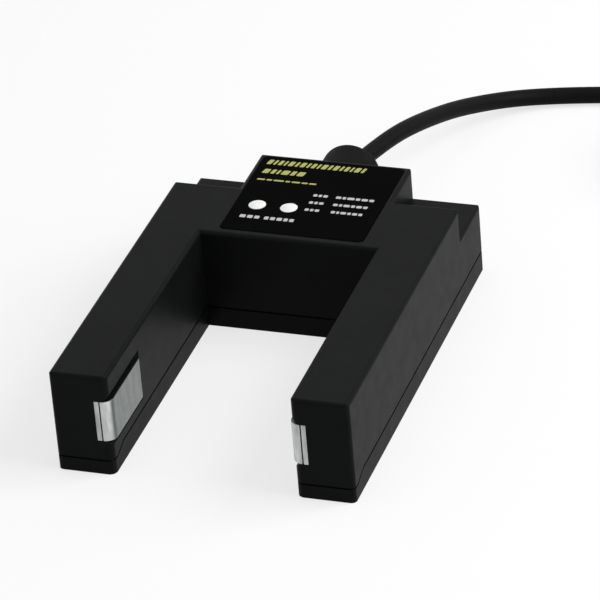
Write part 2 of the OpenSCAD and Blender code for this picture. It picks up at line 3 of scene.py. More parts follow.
import bpy
import numpy as np
from mathutils import Matrix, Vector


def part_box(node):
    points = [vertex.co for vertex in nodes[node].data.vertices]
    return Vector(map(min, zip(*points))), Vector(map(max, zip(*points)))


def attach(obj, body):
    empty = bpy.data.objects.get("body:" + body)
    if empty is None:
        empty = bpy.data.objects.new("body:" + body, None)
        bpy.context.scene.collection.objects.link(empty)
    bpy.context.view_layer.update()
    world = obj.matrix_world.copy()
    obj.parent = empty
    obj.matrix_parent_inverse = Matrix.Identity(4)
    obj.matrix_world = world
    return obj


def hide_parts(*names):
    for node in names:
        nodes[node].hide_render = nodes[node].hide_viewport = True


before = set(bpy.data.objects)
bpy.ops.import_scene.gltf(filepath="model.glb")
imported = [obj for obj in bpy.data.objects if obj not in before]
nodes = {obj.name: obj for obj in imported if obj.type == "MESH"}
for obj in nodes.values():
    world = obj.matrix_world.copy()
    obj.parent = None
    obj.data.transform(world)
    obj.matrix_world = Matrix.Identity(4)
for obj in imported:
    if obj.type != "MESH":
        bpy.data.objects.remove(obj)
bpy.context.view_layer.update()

MM = 0.001


# Upper housing: the black U-shaped shell with its rear block and lugs, moulded in one piece from
# filled ABS. The tool's spark-eroded walls leave a fine even grain. Four screws hold it on the cover.
housing_dark = (0.0034, 0.0036, 0.0036)
housing_light = (0.0058, 0.0063, 0.0062)


def new_finish(name, colour, roughness):
    """A material with one shader, whose colour and roughness stand on its own sockets."""
    material = bpy.data.materials.new(name)
    material.use_nodes = True
    shader = material.node_tree.nodes["Principled BSDF"]
    shader.inputs["Base Color"].default_value = (*colour, 1)
    shader.inputs["Roughness"].default_value = roughness
    return material, material.node_tree, shader


def feed(tree, socket, value):
    """Links value to the socket where it is another node's socket, and otherwise writes it there."""
    if isinstance(value, bpy.types.NodeSocket):
        tree.links.new(value, socket)
    else:
        socket.default_value = value


def between(tree, factor, first, second):
    """The colour that lies at factor on the way from first to second: gives its socket."""
    mix = tree.nodes.new("ShaderNodeMix")
    mix.data_type = "RGBA"
    feed(tree, mix.inputs["Factor"], factor)
    feed(tree, mix.inputs["A"], first)
    feed(tree, mix.inputs["B"], second)
    return mix.outputs["Result"]


def noise_on(tree, patch):
    """Noise with patches about that wide, on the piece's own coordinates: gives its grey socket."""
    place = tree.nodes.new("ShaderNodeTexCoord")
    noise = tree.nodes.new("ShaderNodeTexNoise")
    noise.inputs["Scale"].default_value = 1 / patch
    tree.links.new(place.outputs["Object"], noise.inputs["Vector"])
    return noise.outputs["Fac"]


def mottle(tree, shader, dark, light, patch):
    """Patches of a colour that drifts from dark to light: gives the colour's socket."""
    colour = between(tree, noise_on(tree, patch), (*dark, 1), (*light, 1))
    tree.links.new(colour, shader.inputs["Base Color"])
    return colour


def uneven_gloss(tree, shader, low, high, patch):
    """Patches of a roughness that drifts from low to high."""
    drift = tree.nodes.new("ShaderNodeMapRange")
    drift.inputs["To Min"].default_value = low
    drift.inputs["To Max"].default_value = high
    tree.links.new(noise_on(tree, patch), drift.inputs["Value"])
    tree.links.new(drift.outputs["Result"], shader.inputs["Roughness"])


def grain(tree, shader, size, depth):
    """A bumpy skin: noise of that grain size raises the surface by up to depth."""
    bump = tree.nodes.new("ShaderNodeBump")
    bump.inputs["Distance"].default_value = depth
    tree.links.new(noise_on(tree, size), bump.inputs["Height"])
    tree.links.new(bump.outputs["Normal"], shader.inputs["Normal"])


def moulded(name, dark, light, roughness, grain_size, grain_depth):
    """Moulded plastic: slow drifts of colour and gloss under an even grain, with little shine."""
    gloss_drift = 0.06
    material, tree, shader = new_finish(name, light, roughness)
    shader.inputs["Specular IOR Level"].default_value = 0.04
    mottle(tree, shader, dark, light, patch=9 * MM)
    uneven_gloss(tree, shader, roughness - gloss_drift, roughness + gloss_drift, patch=5 * MM)
    grain(tree, shader, grain_size, grain_depth)
    return material


def break_edges(piece, width, sharper_than):
    """A narrow two-step bevel along the edges that turn by more than that many degrees."""
    bevel = piece.modifiers.new("broken_edges", "BEVEL")
    bevel.limit_method = "ANGLE"
    bevel.angle_limit = math.radians(sharper_than)
    bevel.width = width
    bevel.segments = 2


def shade_by_faces(piece):
    """Shading follows the larger faces, so that flat walls stay flat beside their broken edges."""
    shade = piece.modifiers.new("face_shading", "WEIGHTED_NORMAL")
    shade.weight = 80


def dress(name, material, edge=0.0):
    """Finishes a CAD node. Its triangles are joined, and merged where they are flat. Sharp edges are
    broken by a bevel as wide as edge, or only split where edge is nought."""
    sharper_than = 35
    piece = nodes[name]
    mesh = piece.data
    mesh.materials.clear()
    mesh.materials.append(material)
    for old in ("custom_normal", "sharp_edge", "sharp_face"):
        if old in mesh.attributes:
            mesh.attributes.remove(mesh.attributes[old])
    weld = piece.modifiers.new("joined", "WELD")
    weld.merge_threshold = 0.002 * MM
    flat = piece.modifiers.new("flat_faces", "DECIMATE")
    flat.decimate_type = "DISSOLVE"
    flat.angle_limit = math.radians(0.5)
    if edge > 0:
        break_edges(piece, edge, sharper_than)
    else:
        split = piece.modifiers.new("sharp_edges", "EDGE_SPLIT")
        split.split_angle = math.radians(sharper_than)
    shade_by_faces(piece)


housing_plastic = moulded("housing_plastic", housing_dark, housing_light,
                          roughness=0.42, grain_size=0.22 * MM, grain_depth=0.012 * MM)
dress("upper_housing", housing_plastic, edge=0.16 * MM)


# Bottom cover: the shallow tray that closes the shell from below, moulded from the same plastic.
# Its tongue sits inside the shell and leaves a fine shadow line all round the seam.
cover_dark = (0.0032, 0.0034, 0.0034)
cover_light = (0.0055, 0.0060, 0.0059)
cover_plastic = moulded("cover_plastic", cover_dark, cover_light,
                        roughness=0.44, grain_size=0.24 * MM, grain_depth=0.012 * MM)
dress("bottom_cover", cover_plastic, edge=0.14 * MM)


# Screws: cross-recessed self-tapping screws of zinc-plated steel, four through the cover from below
# and four smaller ones that hold the main board. The plating is pale and slightly cloudy.
zinc_dark = (0.42, 0.42, 0.43)
zinc_light = (0.62, 0.62, 0.60)
screw_steel, tree, shader = new_finish("screw_steel", zinc_light, roughness=0.35)
shader.inputs["Metallic"].default_value = 1
mottle(tree, shader, zinc_dark, zinc_light, patch=1.2 * MM)
uneven_gloss(tree, shader, low=0.28, high=0.46, patch=0.5 * MM)
grain(tree, shader, size=0.1 * MM, depth=0.004 * MM)
dress("cover_screws", screw_steel, edge=0.12 * MM)
dress("board_screws", screw_steel)


# Windows: blocks of clear polycarbonate at the inner front corner of each arm, glued into the pockets.
# Their back is moulded with fine upright ribs. Their colour is painted by the way each face points: a
# painted highlight on the round corner, a lit front, a shaded cloudy grey side and painted shade on the
# top and the groove.
# Painted light and shade by facing: a shaded side, a painted highlight on the corner and a lit front
window_side_shaded = (0.115, 0.134, 0.130)
window_corner_highlight = (0.95, 0.97, 0.97)
window_front_lit = (0.78, 0.80, 0.80)
# Painted shade for the faces that point up or down and for the groove in front
window_painted_shade = (0.006, 0.0065, 0.0065)
side_to, corner_from, corner_to, front_from = 0.4, 0.7, 0.93, 0.99
cloud_size = 2.2 * MM
cloud_stretch = 0.25
cloud_from, cloud_to = 0.35, 0.65
cloud_shade = 0.6
groove_inset = 3.175 * MM
groove_half = 0.2 * MM
rib_pitch = 0.7 * MM
rib_depth = 0.05 * MM


def worked_out(tree, operation, *values):
    """A sum on sockets or plain numbers: gives the result's socket."""
    node = tree.nodes.new("ShaderNodeMath")
    node.operation = operation
    for socket, value in zip(node.inputs, values):
        feed(tree, socket, value)
    return node.outputs["Value"]


window_clear, tree, shader = new_finish("window_clear", window_side_shaded, roughness=0.22)
shader.inputs["IOR"].default_value = 1.58
shader.inputs["Transmission Weight"].default_value = 0.15
place = tree.nodes.new("ShaderNodeTexCoord")

# Painted light and shade by facing: shaded grey sideways, painted highlight round the corner, lit front
surface = tree.nodes.new("ShaderNodeNewGeometry")
facing = tree.nodes.new("ShaderNodeSeparateXYZ")
tree.links.new(surface.outputs["Normal"], facing.inputs["Vector"])
turned = tree.nodes.new("ShaderNodeMapRange")
turned.inputs["From Min"].default_value = 0
turned.inputs["From Max"].default_value = -1
tree.links.new(facing.outputs["Y"], turned.inputs["Value"])
painted_light_ramp = tree.nodes.new("ShaderNodeValToRGB")
painted_light_ramp.color_ramp.elements[0].position = side_to
painted_light_ramp.color_ramp.elements[0].color = (*window_side_shaded, 1)
painted_light_ramp.color_ramp.elements[1].position = front_from
painted_light_ramp.color_ramp.elements[1].color = (*window_front_lit, 1)
for stop in (corner_from, corner_to):
    painted_light_ramp.color_ramp.elements.new(stop).color = (*window_corner_highlight, 1)
tree.links.new(turned.outputs["Result"], painted_light_ramp.inputs["Fac"])

# Clouds, drawn out upright, darken it by up to two fifths
upright = tree.nodes.new("ShaderNodeMapping")
upright.inputs["Scale"].default_value = (1, 1, cloud_stretch)
tree.links.new(place.outputs["Object"], upright.inputs["Vector"])
noise = tree.nodes.new("ShaderNodeTexNoise")
noise.inputs["Scale"].default_value = 1 / cloud_size
tree.links.new(upright.outputs["Vector"], noise.inputs["Vector"])
patches = tree.nodes.new("ShaderNodeMapRange")
patches.inputs["From Min"].default_value = cloud_from
patches.inputs["From Max"].default_value = cloud_to
patches.inputs["To Min"].default_value = cloud_shade
tree.links.new(noise.outputs["Fac"], patches.inputs["Value"])
cloud = tree.nodes.new("ShaderNodeMix")
cloud.data_type = "RGBA"
cloud.blend_type = "MULTIPLY"
cloud.inputs["Factor"].default_value = 1
tree.links.new(painted_light_ramp.outputs["Color"], cloud.inputs["A"])
tree.links.new(patches.outputs["Result"], cloud.inputs["B"])

# Painted shade: what faces up or down, or lies in the groove, is painted near-black
groove_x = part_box("receiver_window")[0][0] + groove_inset
across = tree.nodes.new("ShaderNodeSeparateXYZ")
tree.links.new(place.outputs["Object"], across.inputs["Vector"])
either_arm = worked_out(tree, "ABSOLUTE", across.outputs["X"])
in_groove = worked_out(tree, "COMPARE", either_arm, groove_x, groove_half)
level = worked_out(tree, "ABSOLUTE", facing.outputs["Z"])
painted_shade_share = worked_out(tree, "MAXIMUM", level, in_groove)
painted_shade_colour = between(tree, painted_shade_share, cloud.outputs["Result"], (*window_painted_shade, 1))
tree.links.new(painted_shade_colour, shader.inputs["Base Color"])

# The ribs are soft waves across the block, which repeat every pi / 10 of the scaled coordinate
ribs = tree.nodes.new("ShaderNodeTexWave")
ribs.bands_direction = "Y"
ribs.inputs["Scale"].default_value = math.pi / (10 * rib_pitch)
ribs.inputs["Distortion"].default_value = 0.4
tree.links.new(place.outputs["Object"], ribs.inputs["Vector"])
ridge = tree.nodes.new("ShaderNodeBump")
ridge.inputs["Distance"].default_value = rib_depth
ridge.inputs["Strength"].default_value = 0.5
tree.links.new(ribs.outputs["Fac"], ridge.inputs["Height"])
tree.links.new(ridge.outputs["Normal"], shader.inputs["Normal"])
for window in ("emitter_window", "receiver_window"):
    dress(window, window_clear, edge=0.15 * MM)


# Optics: a holder block, a round infrared diode and a small upright board in each arm's tip, behind the
# window. The emitter's lens is clear with a blue tint, and the receiver's is a dark daylight filter.
holder_dark = (0.035, 0.035, 0.04)
holder_light = (0.06, 0.06, 0.065)
emitter_dark = (0.30, 0.36, 0.52)
emitter_light = (0.40, 0.45, 0.58)
receiver_dark = (0.016, 0.016, 0.024)
receiver_light = (0.028, 0.026, 0.036)
lens_patch = 0.8 * MM
holder_plastic = moulded("holder_plastic", holder_dark, holder_light,
                         roughness=0.45, grain_size=0.3 * MM, grain_depth=0.01 * MM)
for holder in ("emitter_holder", "receiver_holder"):
    dress(holder, holder_plastic, edge=0.15 * MM)

emitter_lens, tree, shader = new_finish("emitter_lens", emitter_light, roughness=0.08)
shader.inputs["Transmission Weight"].default_value = 0.6
mottle(tree, shader, emitter_dark, emitter_light, patch=lens_patch)
dress("emitter_diode", emitter_lens)
receiver_lens, tree, shader = new_finish("receiver_lens", receiver_light, roughness=0.08)
mottle(tree, shader, receiver_dark, receiver_light, patch=lens_patch)
dress("receiver_diode", receiver_lens)


# Boards: glass-fibre boards under green solder mask, one in each arm's tip and the main board under
# the label. The weave shows faintly through the mask.
mask_dark = (0.022, 0.125, 0.055)
mask_light = (0.04, 0.19, 0.085)
board_green, tree, shader = new_finish("board_green", mask_light, roughness=0.32)
mottle(tree, shader, mask_dark, mask_light, patch=0.6 * MM)
grain(tree, shader, size=0.35 * MM, depth=0.01 * MM)
for board in ("emitter_board", "receiver_board", "main_board"):
    dress(board, board_green, edge=0.08 * MM)


# Inner leads and parts: flat grey two-core leads along the arms, and the black chips, aluminium
# capacitors and two lamp chips that are soldered to the main board.
lead_dark = (0.30, 0.30, 0.30)
lead_light = (0.40, 0.40, 0.39)
chip_dark = (0.015, 0.015, 0.015)
chip_light = (0.025, 0.025, 0.026)
can_dark = (0.62, 0.62, 0.64)
can_light = (0.78, 0.78, 0.80)
resin_colours = {"output_lamp": (0.70, 0.15, 0.10), "power_lamp": (0.15, 0.60, 0.20)}


def darker(colour, share):
    """The colour with each of its three parts times share."""
    return tuple(share * part for part in colour)


lead_grey = moulded("lead_grey", lead_dark, lead_light,
                    roughness=0.45, grain_size=0.2 * MM, grain_depth=0.008 * MM)
for lead in ("emitter_leads", "receiver_leads"):
    dress(lead, lead_grey, edge=0.1 * MM)
chip_black = moulded("chip_black", chip_dark, chip_light,
                     roughness=0.5, grain_size=0.12 * MM, grain_depth=0.006 * MM)
for chip in ("control_chip", "output_transistor"):
    dress(chip, chip_black)
capacitor_can, tree, shader = new_finish("capacitor_can", can_light, roughness=0.3)
shader.inputs["Metallic"].default_value = 1
mottle(tree, shader, can_dark, can_light, patch=0.4 * MM)
dress("capacitors", capacitor_can, edge=0.1 * MM)
for lamp, colour in resin_colours.items():
    lamp_chip, tree, shader = new_finish(lamp + "_resin", colour, roughness=0.2)
    mottle(tree, shader, darker(colour, share=0.85), colour, patch=0.5 * MM)
    dress(lamp, lamp_chip, edge=0.08 * MM)


# Lamp windows: two milky white light pipes, pushed up through the shell and the label. The output lamp
# is on the left and the power lamp beside it.
milk_dark = (0.80, 0.80, 0.785)
milk_light = (0.86, 0.86, 0.855)
lamp_white, tree, shader = new_finish("lamp_white", milk_light, roughness=0.28)
shader.inputs["Subsurface Weight"].default_value = 0.15
shader.inputs["Subsurface Scale"].default_value = 1 * MM
mottle(tree, shader, milk_dark, milk_light, patch=1.5 * MM)
for window in ("output_lamp_window", "power_lamp_window"):
    dress(window, lamp_white)


# Label: a black polyester foil with a hard gloss coat, stuck in its shallow recess on the rear block.
# The gloss is a little wavy, as foil over glue is.
foil_dark = (0.0012, 0.0012, 0.0014)
foil_light = (0.0026, 0.0026, 0.0028)
label_black, tree, shader = new_finish("label_black", foil_light, roughness=0.25)
shader.inputs["Specular IOR Level"].default_value = 0.003
mottle(tree, shader, foil_dark, foil_light, patch=6 * MM)
grain(tree, shader, size=3 * MM, depth=0.01 * MM)
dress("label_panel", label_black, edge=0.06 * MM)


# Print on the label: screen-printed ink, laid as rows of small blocks. Slanted yellow ones stand at the
# rear, and upright white ones form a table to the right of the lamps and a short caption under each.
label_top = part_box("label_panel")[1][2]
ink_top = label_top + 0.03 * MM
ink_base = label_top - 0.01 * MM
yellow = (0.46, 0.47, 0.13)
white = (0.58, 0.58, 0.57)


def ink_row(ends, y, height, gap, shares):
    """Blocks side by side between two ends, in millimetres, with a gap between them and widths in those
    shares: one line per block with its middle x, y, half width and half height, in metres."""
    shares = np.array(shares, float)
    widths = shares / shares.sum() * (ends[1] - ends[0] - gap * (len(shares) - 1))
    starts = ends[0] + np.concatenate([[0], np.cumsum(widths + gap)[:-1]])
    level = np.full_like(widths, y)
    half_height = np.full_like(widths, height / 2)
    return np.stack([starts + widths / 2, level, widths / 2, half_height], 1) * MM


def squarish_ring(steps, power=8):
    """A superellipse, |u|^power + |v|^power = 1, at even turns from 0: its u and its v."""
    turn = np.linspace(0, 2 * math.pi, steps, endpoint=False)
    u, v = np.cos(turn), np.sin(turn)
    reach = (np.abs(u) ** power + np.abs(v) ** power) ** (-1 / power)
    return reach * u, reach * v


def new_piece(name, points, faces):
    """A mesh from an array of points and a list of faces, which rides on the sensor's one body."""
    mesh = bpy.data.meshes.new(name)
    mesh.from_pydata(points.reshape(-1, 3).tolist(), [], faces)
    piece = bpy.data.objects.new(name, mesh)
    bpy.context.scene.collection.objects.link(piece)
    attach(piece, "root")
    return piece


def ink_mesh(name, rows, slant, sides=24):
    """Each block is a squarish ring, sheared along x by slant times its height. It has a flat top, a wall
    down into the foil and a flat foot."""
    u, v = squarish_ring(sides)
    y = rows[:, 1:2] + rows[:, 3:4] * v
    x = rows[:, 0:1] + rows[:, 2:3] * u + slant * (y - rows[:, 1:2])
    top = np.stack([x, y, np.full_like(x, ink_top)], -1)
    foot = np.stack([x, y, np.full_like(x, ink_base)], -1)
    ring = np.arange(sides)
    after = (ring + 1) % sides
    first = np.arange(len(rows))[:, None] * 2 * sides
    caps = np.concatenate([first + ring, first + sides + ring[::-1]])
    walls = np.stack([first + ring, first + ring + sides, first + after + sides, first + after], -1)
    return new_piece(name, np.concatenate([top, foot], 1), caps.tolist() + walls.reshape(-1, 4).tolist())


def ink(name, colour):
    """Screen ink: a flat opaque colour that thins a little in patches."""
    material, tree, shader = new_finish(name, colour, roughness=0.5)
    shader.inputs["Specular IOR Level"].default_value = 0.2
    mottle(tree, shader, darker(colour, share=0.72), colour, patch=0.4 * MM)
    return material


yellow_rows = [
    ink_row(ends=(-18.4, 9.8), y=5.0, height=2.5, gap=0.62, shares=(1.5, 0.8, 1.2, 0.7, 1.6, 0.9) * 3),
    ink_row(ends=(-18.2, -6.2), y=0.0, height=2.3, gap=0.62, shares=(1.3, 0.8, 0.5, 1.5, 0.9, 1.4)),
    ink_row(ends=(-18.5, -1.4), y=-4.6, height=0.75, gap=0.5, shares=(1.6, 1.1, 2.1, 0.9, 1.7, 1.2, 1.4)),
]
yellow_print = ink_mesh("yellow_print", np.concatenate(yellow_rows), slant=0.22)
yellow_print.data.materials.append(ink("yellow_ink", yellow))
table_ends = {-10.4: (6.2, 17.1), -14.3: (6.6, 16.4), -18.2: (7.2, 16.1)}
white_rows = [
    ink_row(ends, y, height=1.2, gap=0.42, shares=shares)
    for y, right_ends in table_ends.items()
    for ends, shares in (((-0.3, 3.8), (1.1, 0.9, 1.2)), (right_ends, (1.1, 0.7, 1.5, 0.9, 1.3, 1)))
]
white_rows += [
    ink_row(ends=(-16.9, -11.3), y=-24.6, height=1.5, gap=0.5, shares=(1.3, 1.2, 1.1)),
    ink_row(ends=(-9.9, -1.4), y=-24.6, height=1.5, gap=0.5, shares=(1.2, 1.3, 1.4, 1.1, 1.2)),
]
white_print = ink_mesh("white_print", np.concatenate(white_rows), slant=0.0)
white_print.data.materials.append(ink("white_ink", white))


# Gland: the round bush of soft black rubber that grips the cable where it leaves the rear wall. Its neck
# snaps into the wall's hole, and its outer end has a small rounded rim.
rubber_dark = (0.004, 0.004, 0.004)
rubber_light = (0.007, 0.007, 0.007)
gland_rubber = moulded("gland_rubber", rubber_dark, rubber_light,
                       roughness=0.6, grain_size=0.3 * MM, grain_depth=0.014 * MM)
dress("cable_gland", gland_rubber)


# Cable: one metre of round three-core cable in a soft black sheath. It leaves the gland, sinks to the
# floor and runs to a flat coil of two layers, where the spare length is wound up.
cable_d = 5.0 * MM
floor_clear = 0.1 * MM
floor_z = cable_d / 2 + floor_clear
gland_low, gland_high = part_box("cable_gland")
cable_exit = np.array([0, gland_high[1], (gland_low[2] + gland_high[2]) / 2])
coil_middle = np.array([100.0, 78.5]) * MM
coil_turn_r = 31.0 * MM
coil_lead_in = np.array([23.0, 19.0]) * MM
layer_turns = 2.625
low_layer = 3.6 * MM
high_layer = low_layer + cable_d
climb_turns = 0.35
climb_tuck = 1.0 * MM
far_run = 44.0 * MM
far_end = np.array([coil_middle[0] + coil_turn_r, coil_middle[1] - far_run, floor_z])

# Place across and distance behind the gland in millimetres, and share of the exit's height
course = np.array([
    [0, 0, 1], [0, 2.5, 1], [0.8, 6.7, 0.99], [2.4, 11.3, 0.98], [3.6, 16.2, 0.97], [4.8, 21.3, 0.94],
    [6.2, 26.7, 0.9], [7.7, 31.7, 0.84], [8.8, 36.6, 0.77], [10.2, 41.6, 0.69], [11.8, 46.9, 0.6],
    [13.3, 52, 0.52], [15.1, 56.9, 0.42], [17, 61.6, 0.33], [19.5, 66.4, 0.24], [22.5, 71.2, 0.15],
    [25.8, 74.8, 0.09], [29.4, 77.6, 0.04], [34.2, 80, 0.01], [39.8, 81.9, 0], [48.8, 83.9, 0],
    [58, 85.6, 0], [66, 86.7, 0.03],
])
free_route = np.stack([course[:, 0] * MM, cable_exit[1] + course[:, 1] * MM,
                       floor_z + course[:, 2] * (cable_exit[2] - floor_z)], 1)
coil_start = np.stack([coil_middle[0] - coil_lead_in, np.full(2, coil_middle[1] + coil_turn_r),
                       np.full(2, low_layer)], 1)
cable_route = np.concatenate([free_route, coil_start])


def smooth_line(points, per_span=12):
    """A Catmull-Rom curve: between two points a cubic that passes both, with its slope at each point
    half the way from the point before to the point after."""
    p = np.concatenate([[2 * points[0] - points[1]], points, [2 * points[-1] - points[-2]]])
    t = np.linspace(0, 1, per_span, endpoint=False)[None, :, None]
    a, b, c, d = (p[i:len(p) - 3 + i, None, :] for i in range(4))
    square = 2 * a - 5 * b + 4 * c - d
    cube = 3 * b - a - 3 * c + d
    line = 0.5 * (2 * b + (c - a) * t + square * t ** 2 + cube * t ** 3)
    return np.concatenate([line.reshape(-1, 3), points[-1:]])


def soft_step(t):
    """An S from 0 to 1 that is level at both ends: three times the square less twice the cube."""
    return t * t * (3 - 2 * t)


def wound_coil(steps=720):
    """A flat spiral, clockwise from the rear: it closes in by one diameter a turn on the low layer, climbs
    and tucks in a little at the middle, and opens by one diameter a turn on the high layer."""
    turns = np.linspace(0, 2 * layer_turns, steps)
    inward = np.minimum(turns, 2 * layer_turns - turns)
    climb = soft_step(np.clip((turns - layer_turns + climb_turns) / climb_turns, 0, 1))
    tuck = soft_step(np.clip(1 - np.abs(turns - layer_turns) / climb_turns, 0, 1))
    r = coil_turn_r - cable_d * inward - climb_tuck * tuck
    angle = math.pi / 2 - 2 * math.pi * turns
    x = coil_middle[0] + r * np.cos(angle)
    y = coil_middle[1] + r * np.sin(angle)
    return np.stack([x, y, low_layer + (high_layer - low_layer) * climb], 1)


def run_out(start, end, steps=40):
    """From the coil's top layer down to the floor: a straight run whose height falls in a soft S."""
    t = np.linspace(0, 1, steps)[1:, None]
    line = start + (end - start) * t
    line[:, 2:] = start[2] + (end[2] - start[2]) * soft_step(t)
    return line


def evenly(line, step):
    """The same line with its points a step apart, by distance along it, and those distances."""
    along = np.concatenate([[0], np.cumsum(np.linalg.norm(np.diff(line, axis=0), axis=1))])
    marks = np.linspace(0, along[-1], int(along[-1] / step) + 1)
    return np.stack([np.interp(marks, along, line[:, k]) for k in range(3)], 1), marks


def eased(line, reach=8):
    """Each point moves to the mean of its neighbours, weighed by a raised cosine that ends reach points
    away. The line is turned over at both ends, so they stay."""
    weights = 1 + np.cos(np.linspace(-math.pi, math.pi, 2 * reach + 3)[1:-1])
    weights /= weights.sum()
    longer = np.concatenate([2 * line[0] - line[reach:0:-1], line, 2 * line[-1] - line[-2:-reach - 2:-1]])
    return np.stack([np.convolve(longer[:, k], weights, "valid") for k in range(3)], 1)


def lofted(rings, sides, closed=False):
    """Faces for rings of points in a row: walls from each ring to the next, and a cap at both ends unless
    the last ring joins the first."""
    k = np.arange(sides)
    n = (k + 1) % sides
    this = np.arange(rings if closed else rings - 1)[:, None] * sides
    after = (this + sides) % (rings * sides)
    walls = np.stack([this + k, this + n, after + n, after + k], -1).reshape(-1, 4).tolist()
    return walls if closed else walls + [k[::-1].tolist(), ((rings - 1) * sides + k).tolist()]


def tube(name, line, marks, radius, sides=20):
    """A round profile carried along a line: each ring stands square to the line, and its radius is the
    function of turn and distance that is given. Both ends are closed, and UV runs along and around."""
    ahead = np.gradient(line, axis=0)
    ahead /= np.linalg.norm(ahead, axis=1, keepdims=True)
    across = np.cross([0, 0, 1], ahead)
    across /= np.linalg.norm(across, axis=1, keepdims=True)
    above = np.cross(ahead, across)
    turn = np.linspace(0, 2 * math.pi, sides, endpoint=False)
    outward = np.cos(turn)[:, None] * across[:, None] + np.sin(turn)[:, None] * above[:, None]
    points = line[:, None] + radius(turn[None, :], marks[:, None])[..., None] * outward
    spans = len(line) - 1
    piece = new_piece(name, points, lofted(len(line), sides))
    mesh = piece.data
    k = np.arange(sides)
    around = np.stack([k, k + 1, k + 1, k], -1)[None].repeat(spans, 0)
    along = np.stack([marks[:-1], marks[:-1], marks[1:], marks[1:]], -1)[:, None].repeat(sides, 1)
    uv = np.zeros((len(mesh.loops), 2))
    uv[:along.size, 0] = along.reshape(-1)
    uv[:around.size, 1] = (around * radius(0, 0) * 2 * math.pi / sides).reshape(-1)
    mesh.uv_layers.new(name="along_and_around").data.foreach_set("uv", uv.astype(np.float32).reshape(-1))
    mesh.polygons.foreach_set("use_smooth", np.arange(len(mesh.polygons)) < spans * sides)
    return piece


def cable_radius(turn, along):
    """Half the diameter over the three twisted cores, and a hair less between them: a three-lobed wave
    that turns once in the length of their lay."""
    core_ridge = 0.02 * MM
    core_lay = 36 * MM
    return cable_d / 2 - core_ridge * (1 - np.cos(3 * turn - 2 * math.pi * along / core_lay))


cable_step = 1.5 * MM
free_run = eased(evenly(smooth_line(cable_route), cable_step)[0])
coil_line = wound_coil()
whole = np.concatenate([free_run, coil_line, run_out(coil_line[-1], far_end)])
cable_line, cable_marks = evenly(whole, cable_step)
cable_piece = tube("lead_cable", cable_line, cable_marks, cable_radius)
cable_sheath, tree, shader = new_finish("cable_sheath", rubber_light, roughness=0.5)
shader.inputs["Specular IOR Level"].default_value = 0.035
mottle(tree, shader, rubber_dark, rubber_light, patch=7 * MM)
uneven_gloss(tree, shader, low=0.44, high=0.56, patch=4 * MM)
grain(tree, shader, size=0.25 * MM, depth=0.008 * MM)
cable_piece.data.materials.append(cable_sheath)
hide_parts("cable", "cable_coil")
dress("cable_tail", cable_sheath)


# Cores: the three insulated conductors, brown, blue and black, inside the body and at the cable's
# stripped far end. There each has a bare tip of twisted copper strands.
core_colours = {"brown": (0.13, 0.045, 0.015), "blue": (0.02, 0.07, 0.40), "black": (0.012, 0.012, 0.012)}
copper_dark = (0.36, 0.15, 0.07)
copper_light = (0.70, 0.36, 0.20)
bare_length = 6 * MM
bare_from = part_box("blue_end")[0][1] + bare_length


def insulated(name, colour):
    """A core's smooth skin, a little darker in patches: its material, tree, shader and colour socket."""
    material, tree, shader = new_finish(name, colour, roughness=0.35)
    skin = mottle(tree, shader, darker(colour, share=0.8), colour, patch=1 * MM)
    return material, tree, shader, skin


def stripped(name, colour):
    """A core's end: the same skin, and copper strands from bare_from forwards to the tip."""
    material, tree, shader, skin = insulated(name, colour)
    strands = mottle(tree, shader, copper_dark, copper_light, patch=0.3 * MM)
    place = tree.nodes.new("ShaderNodeTexCoord")
    axes = tree.nodes.new("ShaderNodeSeparateXYZ")
    tree.links.new(place.outputs["Object"], axes.inputs["Vector"])
    bare = worked_out(tree, "LESS_THAN", axes.outputs["Y"], bare_from)
    tree.links.new(between(tree, bare, skin, strands), shader.inputs["Base Color"])
    tree.links.new(bare, shader.inputs["Metallic"])
    return material


for core, colour in core_colours.items():
    dress(core + "_core", insulated("core_" + core, colour)[0])
    dress(core + "_end", stripped("core_end_" + core, colour))


# Tie: a cable tie of black nylon, pulled tight round both layers of the coil as leads are packed. Its tail
# comes out of the locking head on top and is cut short.
tie_dark = (0.006, 0.006, 0.006)
tie_light = (0.010, 0.010, 0.010)
tie_turn = math.radians(45)
tie_in, tie_out = 17.7 * MM, 33.1 * MM
tie_low, tie_high = 1.0 * MM, 11.2 * MM
tie_thick = 0.8 * MM
tie_width = 3.6 * MM
head_from, head_to = 29.3 * MM, 24.3 * MM
head_low = tie_high + tie_thick / 2
head_height = 3.4 * MM
head_width = 5.6 * MM
tail_length = 9 * MM
tail_low = tie_high + 1.6 * MM
tail_rise = 2.4 * MM


def strap(line, thick, width, closed=False):
    """A flat strap along a line of distance from the coil's middle and height. Its outer face stands thick
    off the line, square to it, and its edges lie half the width to each side: points and faces."""
    ahead = np.roll(line, -1, 0) - np.roll(line, 1, 0) if closed else np.gradient(line, axis=0)
    ahead = ahead / np.linalg.norm(ahead, axis=1, keepdims=True)
    outer = line + thick * np.stack([ahead[:, 1], -ahead[:, 0]], 1)
    flat = np.stack([line, outer, outer, line], 1)
    side = np.array([-0.5, -0.5, 0.5, 0.5]) * width
    x = coil_middle[0] + flat[..., 0] * math.cos(tie_turn) - side * math.sin(tie_turn)
    y = coil_middle[1] + flat[..., 0] * math.sin(tie_turn) + side * math.cos(tie_turn)
    points = np.stack([x, y, flat[..., 1]], -1).reshape(-1, 3)
    return points, np.array(lofted(len(line), len(side), closed))


def round_loop(steps=96):
    """Round the coil's turns: a squarish ring in the upright plane."""
    u, v = squarish_ring(steps)
    return np.stack([(tie_in + tie_out) / 2 + (tie_out - tie_in) / 2 * u,
                     (tie_low + tie_high) / 2 + (tie_high - tie_low) / 2 * v], 1)


def tail_curve(steps=12):
    """The tail runs inwards from the head and rises with the square of the distance."""
    along = np.linspace(0, 1, steps)[:, None]
    return np.concatenate([head_to - tail_length * along, tail_low + tail_rise * along ** 2], 1)


